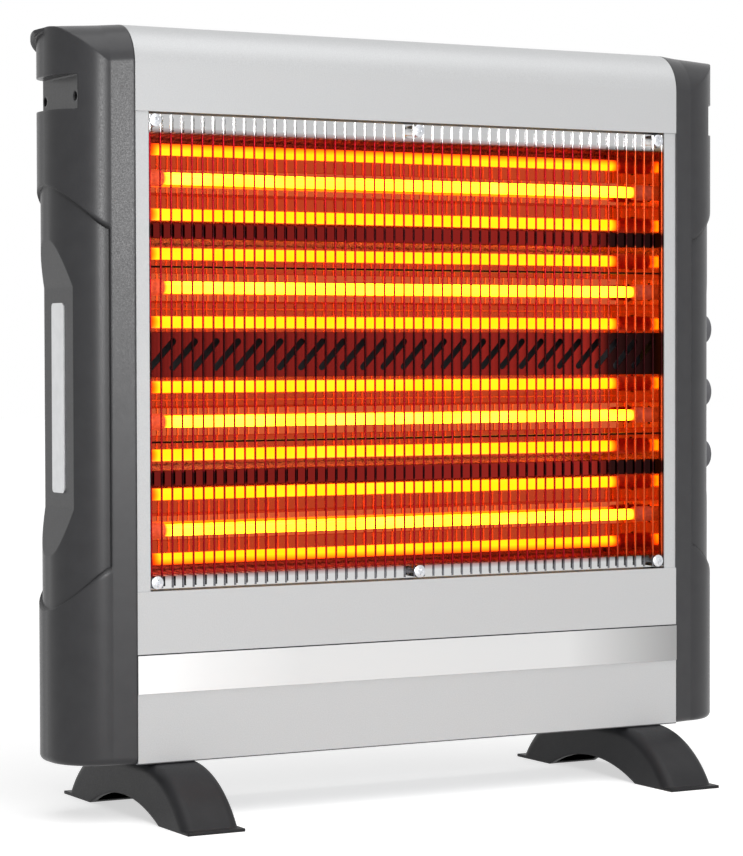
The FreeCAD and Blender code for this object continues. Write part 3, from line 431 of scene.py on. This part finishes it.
def screw_vertices():
    """One turned screw: its profile goes round an axis along Y, with a middle point at each end. The dome
    sinks by the recess depth inside a cross, where the lesser of the two offsets is under the arm's half
    width and the greater under its reach."""
    radii, depths = screw_profile()
    angles = np.arange(SCREW_SPOKES) / SCREW_SPOKES * math.tau
    across = radii[:, None] * np.cos(angles)
    up = radii[:, None] * np.sin(angles)
    narrow = np.minimum(abs(across), abs(up))
    far = np.maximum(abs(across), abs(up))
    inside = np.clip((RECESS_HALF - narrow) / RECESS_EDGE + 0.5, 0, 1)
    inside *= np.clip((RECESS_REACH - far) / RECESS_EDGE + 0.5, 0, 1)
    inside[DOME_RINGS:] = 0
    depth = depths[:, None] + RECESS_DEPTH * inside
    rings = np.stack([across, SCREW_LOW.y + depth, up], axis=-1).reshape(-1, 3)
    ends = np.array([(0, SCREW_LOW.y + RECESS_DEPTH, 0), (0, SCREW_HIGH.y, 0)])
    return np.concatenate([rings, ends])


def screw_faces():
    """The faces of one screw: quads between its rings and a fan of triangles at each end."""
    ring = np.arange(SCREW_SPOKES)
    after = (ring + 1) % SCREW_SPOKES
    base = np.arange(SCREW_RINGS - 1)[:, None] * SCREW_SPOKES
    next_base = base + SCREW_SPOKES
    quads = np.stack([base + ring, base + after, next_base + after, next_base + ring], -1)
    last = (SCREW_RINGS - 1) * SCREW_SPOKES
    head_end = SCREW_RINGS * SCREW_SPOKES
    front = np.stack([np.full(SCREW_SPOKES, head_end), after, ring], -1)
    rear = np.stack([np.full(SCREW_SPOKES, head_end + 1), last + ring, last + after], -1)
    return quads.reshape(-1, 4), front, rear


def guard_screw_heads():
    """Six screws in one piece, at the guard's corners and in the middle of its upper and lower edges."""
    one = screw_vertices()
    middle = (SCREW_LOW.x + SCREW_HIGH.x) / 2
    columns = (SCREW_LOW.x + HEAD_RADIUS, middle, SCREW_HIGH.x - HEAD_RADIUS)
    vertices, faces = [], []
    for z in (SCREW_LOW.z + HEAD_RADIUS, SCREW_HIGH.z - HEAD_RADIUS):
        for x in columns:
            offset = len(vertices) * len(one)
            vertices.append(one + (x, 0, z))
            for part in screw_faces():
                faces.extend((part + offset).tolist())
    mesh = bpy.data.meshes.new("guard_screw_heads")
    mesh.from_pydata(np.concatenate(vertices).tolist(), [], faces)
    mesh.validate()
    piece = bpy.data.objects.new("guard_screw_heads", mesh)
    bpy.context.scene.collection.objects.link(piece)
    mesh.materials.append(
        plain_metal("zinc_plated_screw_head", "#D6D8DC", "#C0C2C6", roughness=0.3, patch_mm=2))
    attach(piece, "heater_body")
    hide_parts("guard_screws")


def dress():
    """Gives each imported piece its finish."""
    finished = (
        (silver_paint(),
         ("top_panel", "lower_front_panel", "left_side_strip", "right_side_strip")),
        (bright_trim(),
         ("trim_strip",)),
        (moulded_abs("spark_eroded_dark_grey_abs", "#343436", "#2F2F31", roughness=0.34, gloss=0.33),
         ("left_end_cover", "right_end_cover")),
        (moulded_abs("spark_eroded_black_abs", "#252527", "#202022", roughness=0.45, gloss=0.18),
         ("left_foot", "right_foot")),
        (moulded_abs("moulded_dark_grey_knob_abs", "#646467", "#5C5C5F", roughness=0.42, gloss=0.3),
         ("top_knob", "middle_knob", "bottom_knob")),
        (plain_metal("satin_anodised_aluminium_plate", "#D6D7D8", "#D0D1D2", roughness=0.4, patch_mm=8),
         ("side_plate",)),
        (painted_sheet("stove_enamelled_grey_steel", "#4A4A4C", "#444446"),
         ("rear_panel",)),
        (plain_metal("galvanised_steel_sheet", "#8E9194", "#7C7F83", roughness=0.5, patch_mm=12),
         ("base_plate", "left_chassis_plate", "right_chassis_plate")),
        (plain_metal("zinc_plated_steel", "#C9CBCE", "#B2B4B8", roughness=0.35, patch_mm=6),
         ("guard_screws", "rear_screws", "foot_screws", "switch_nuts", "top_knob_shaft",
          "middle_knob_shaft", "bottom_knob_shaft", "tube_terminals", "terminal_nuts")),
        (reflector_with_painted_glow(),
         ("upper_reflector", "lower_reflector")),
        (polished_end(),
         ("left_reflector_end", "right_reflector_end")),
        (glowing_quartz(),
         ("quartz_tube_1", "quartz_tube_2", "quartz_tube_3", "quartz_tube_4",
          "heating_coil_1", "heating_coil_2", "heating_coil_3", "heating_coil_4")),
        # Lit and shaded copies of one ceramic: the left caps painted brighter with more glow, the right caps
        # darker
        (ceramic_with_painted_glow("pressed_steatite_ceramic_left_painted_lit", "#D8502C", "#B83C20", glow=0.35),
         ("left_ceramic_caps",)),
        (ceramic_with_painted_glow("pressed_steatite_ceramic_right_painted_shade", "#A83A22", "#8A2A18", glow=0.15),
         ("right_ceramic_caps",)),
        (guard_wire(),
         ("guard_grille", "guard_spacers")),
        (slotted_strip(),
         ("vent_strip",)),
        (plain_metal("turned_brass", "#C9A95B", "#B9964A", roughness=0.3, patch_mm=5),
         ("bus_bar",)),
        (moulded_abs("moulded_black_nylon", "#242426", "#1F1F21", roughness=0.45, gloss=0.4),
         ("top_rotary_switch", "middle_rotary_switch", "bottom_rotary_switch", "terminal_block",
          "cable_gland")),
        (plain_metal("black_oxide_steel_screw", "#1C1C1E", "#141416", roughness=0.5, patch_mm=3),
         ("cover_screws",)),
        (moulded_abs("moulded_silicone_rubber", "#3A2A26", "#322420", roughness=0.7, gloss=0.2),
         ("wire_grommets",)),
        (moulded_abs("glass_braid_wire_sleeve", "#C8C0B0", "#B4AC9C", roughness=0.8, gloss=0.2),
         ("switch_wiring", "supply_wire", "return_wire")),
    )
    for material, names in finished:
        for name in names:
            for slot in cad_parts[name].material_slots:
                slot.material = material


def background_rays(tree):
    """One for camera, glossy and transmission rays, which see the plain white background."""
    seen = add(tree, "ShaderNodeLightPath", out="Is Camera Ray")
    for ray in ("Is Glossy Ray", "Is Transmission Ray"):
        seen = add(tree, "ShaderNodeMath", {0: seen, 1: add(tree, "ShaderNodeLightPath", out=ray)},
                   operation="MAXIMUM")
    return seen


def lay_floor():
    """A wide pale floor, white to the camera where no shadow falls on it."""
    corners = np.array([(-1, -1, 0), (1, -1, 0), (1, 1, 0), (-1, 1, 0)]) * FLOOR_REACH
    mesh = bpy.data.meshes.new("floor")
    mesh.from_pydata(corners.tolist(), [], [(0, 1, 2, 3)])
    floor = bpy.data.objects.new("floor", mesh)
    bpy.context.scene.collection.objects.link(floor)
    material, tree, _ = start("matt_white_studio_floor")
    diffuse = add(tree, "ShaderNodeBsdfDiffuse", {"Color": srgb("#D6D6D6")})
    lift = add(tree, "ShaderNodeMath", {0: background_rays(tree), 1: FLOOR_LIFT}, operation="MULTIPLY")
    white = add(tree, "ShaderNodeEmission", {"Color": srgb("#FFFFFF"), "Strength": lift})
    both = add(tree, "ShaderNodeAddShader", {0: diffuse, 1: white})
    add(tree, "ShaderNodeOutputMaterial", {"Surface": both})
    mesh.materials.append(material)


def hang_lamp(name, kind, place, heading, **settings):
    """A lamp at a place, shining along its heading."""
    lamp = bpy.data.lights.new(name, kind)
    for key, value in settings.items():
        setattr(lamp, key, value)
    holder = bpy.data.objects.new(name, lamp)
    holder.location = place
    holder.rotation_euler = Vector(heading).to_track_quat("-Z", "Y").to_euler()
    bpy.context.scene.collection.objects.link(holder)


def light_studio():
    """A white backdrop all round with a soft fill, a broad light from above and a softbox in front."""
    scene = bpy.context.scene
    scene.view_settings.view_transform = "Standard"
    world = bpy.data.worlds.new("studio")
    world.use_nodes = True
    scene.world = world
    tree = world.node_tree
    tree.nodes.clear()
    strength = add(tree, "ShaderNodeMapRange", {
        "Value": background_rays(tree), "To Min": FILL_LEVEL, "To Max": 1.0})
    back = add(tree, "ShaderNodeBackground", {"Color": srgb("#FFFFFF"), "Strength": strength})
    add(tree, "ShaderNodeOutputWorld", {"Surface": back})
    hang_lamp("sky", "SUN", SKY_PLACE, SKY_HEADING, energy=SKY_LEVEL, angle=SKY_SPREAD)
    aim = Vector(SOFTBOX_AIM) - Vector(SOFTBOX_PLACE)
    hang_lamp("softbox", "AREA", SOFTBOX_PLACE, aim, energy=SOFTBOX_POWER, shape="RECTANGLE",
              size=SOFTBOX_WIDTH, size_y=SOFTBOX_HEIGHT)


def place_camera():
    """The photograph's camera: a yaw to the right, a slight look down and a trace of roll."""
    flat = math.cos(CAMERA_PITCH)
    forward = Vector((
        math.sin(CAMERA_YAW) * flat, math.cos(CAMERA_YAW) * flat, -math.sin(CAMERA_PITCH)))
    level = Vector((math.cos(CAMERA_YAW), -math.sin(CAMERA_YAW), 0))
    down = forward.cross(level)
    right = math.cos(CAMERA_ROLL) * level + math.sin(CAMERA_ROLL) * down
    low = math.cos(CAMERA_ROLL) * down - math.sin(CAMERA_ROLL) * level
    turn = Matrix((right, -low, -forward)).transposed()
    data = bpy.data.cameras.new("camera")
    data.lens = CAMERA_LENS
    data.sensor_width = SENSOR_WIDTH
    camera = bpy.data.objects.new("camera", data)
    camera.matrix_world = Matrix.Translation(CAMERA_PLACE) @ turn.to_4x4()
    bpy.context.scene.collection.objects.link(camera)
    bpy.context.scene.camera = camera


dress()
guard_screw_heads()
lay_floor()
light_studio()
place_camera()
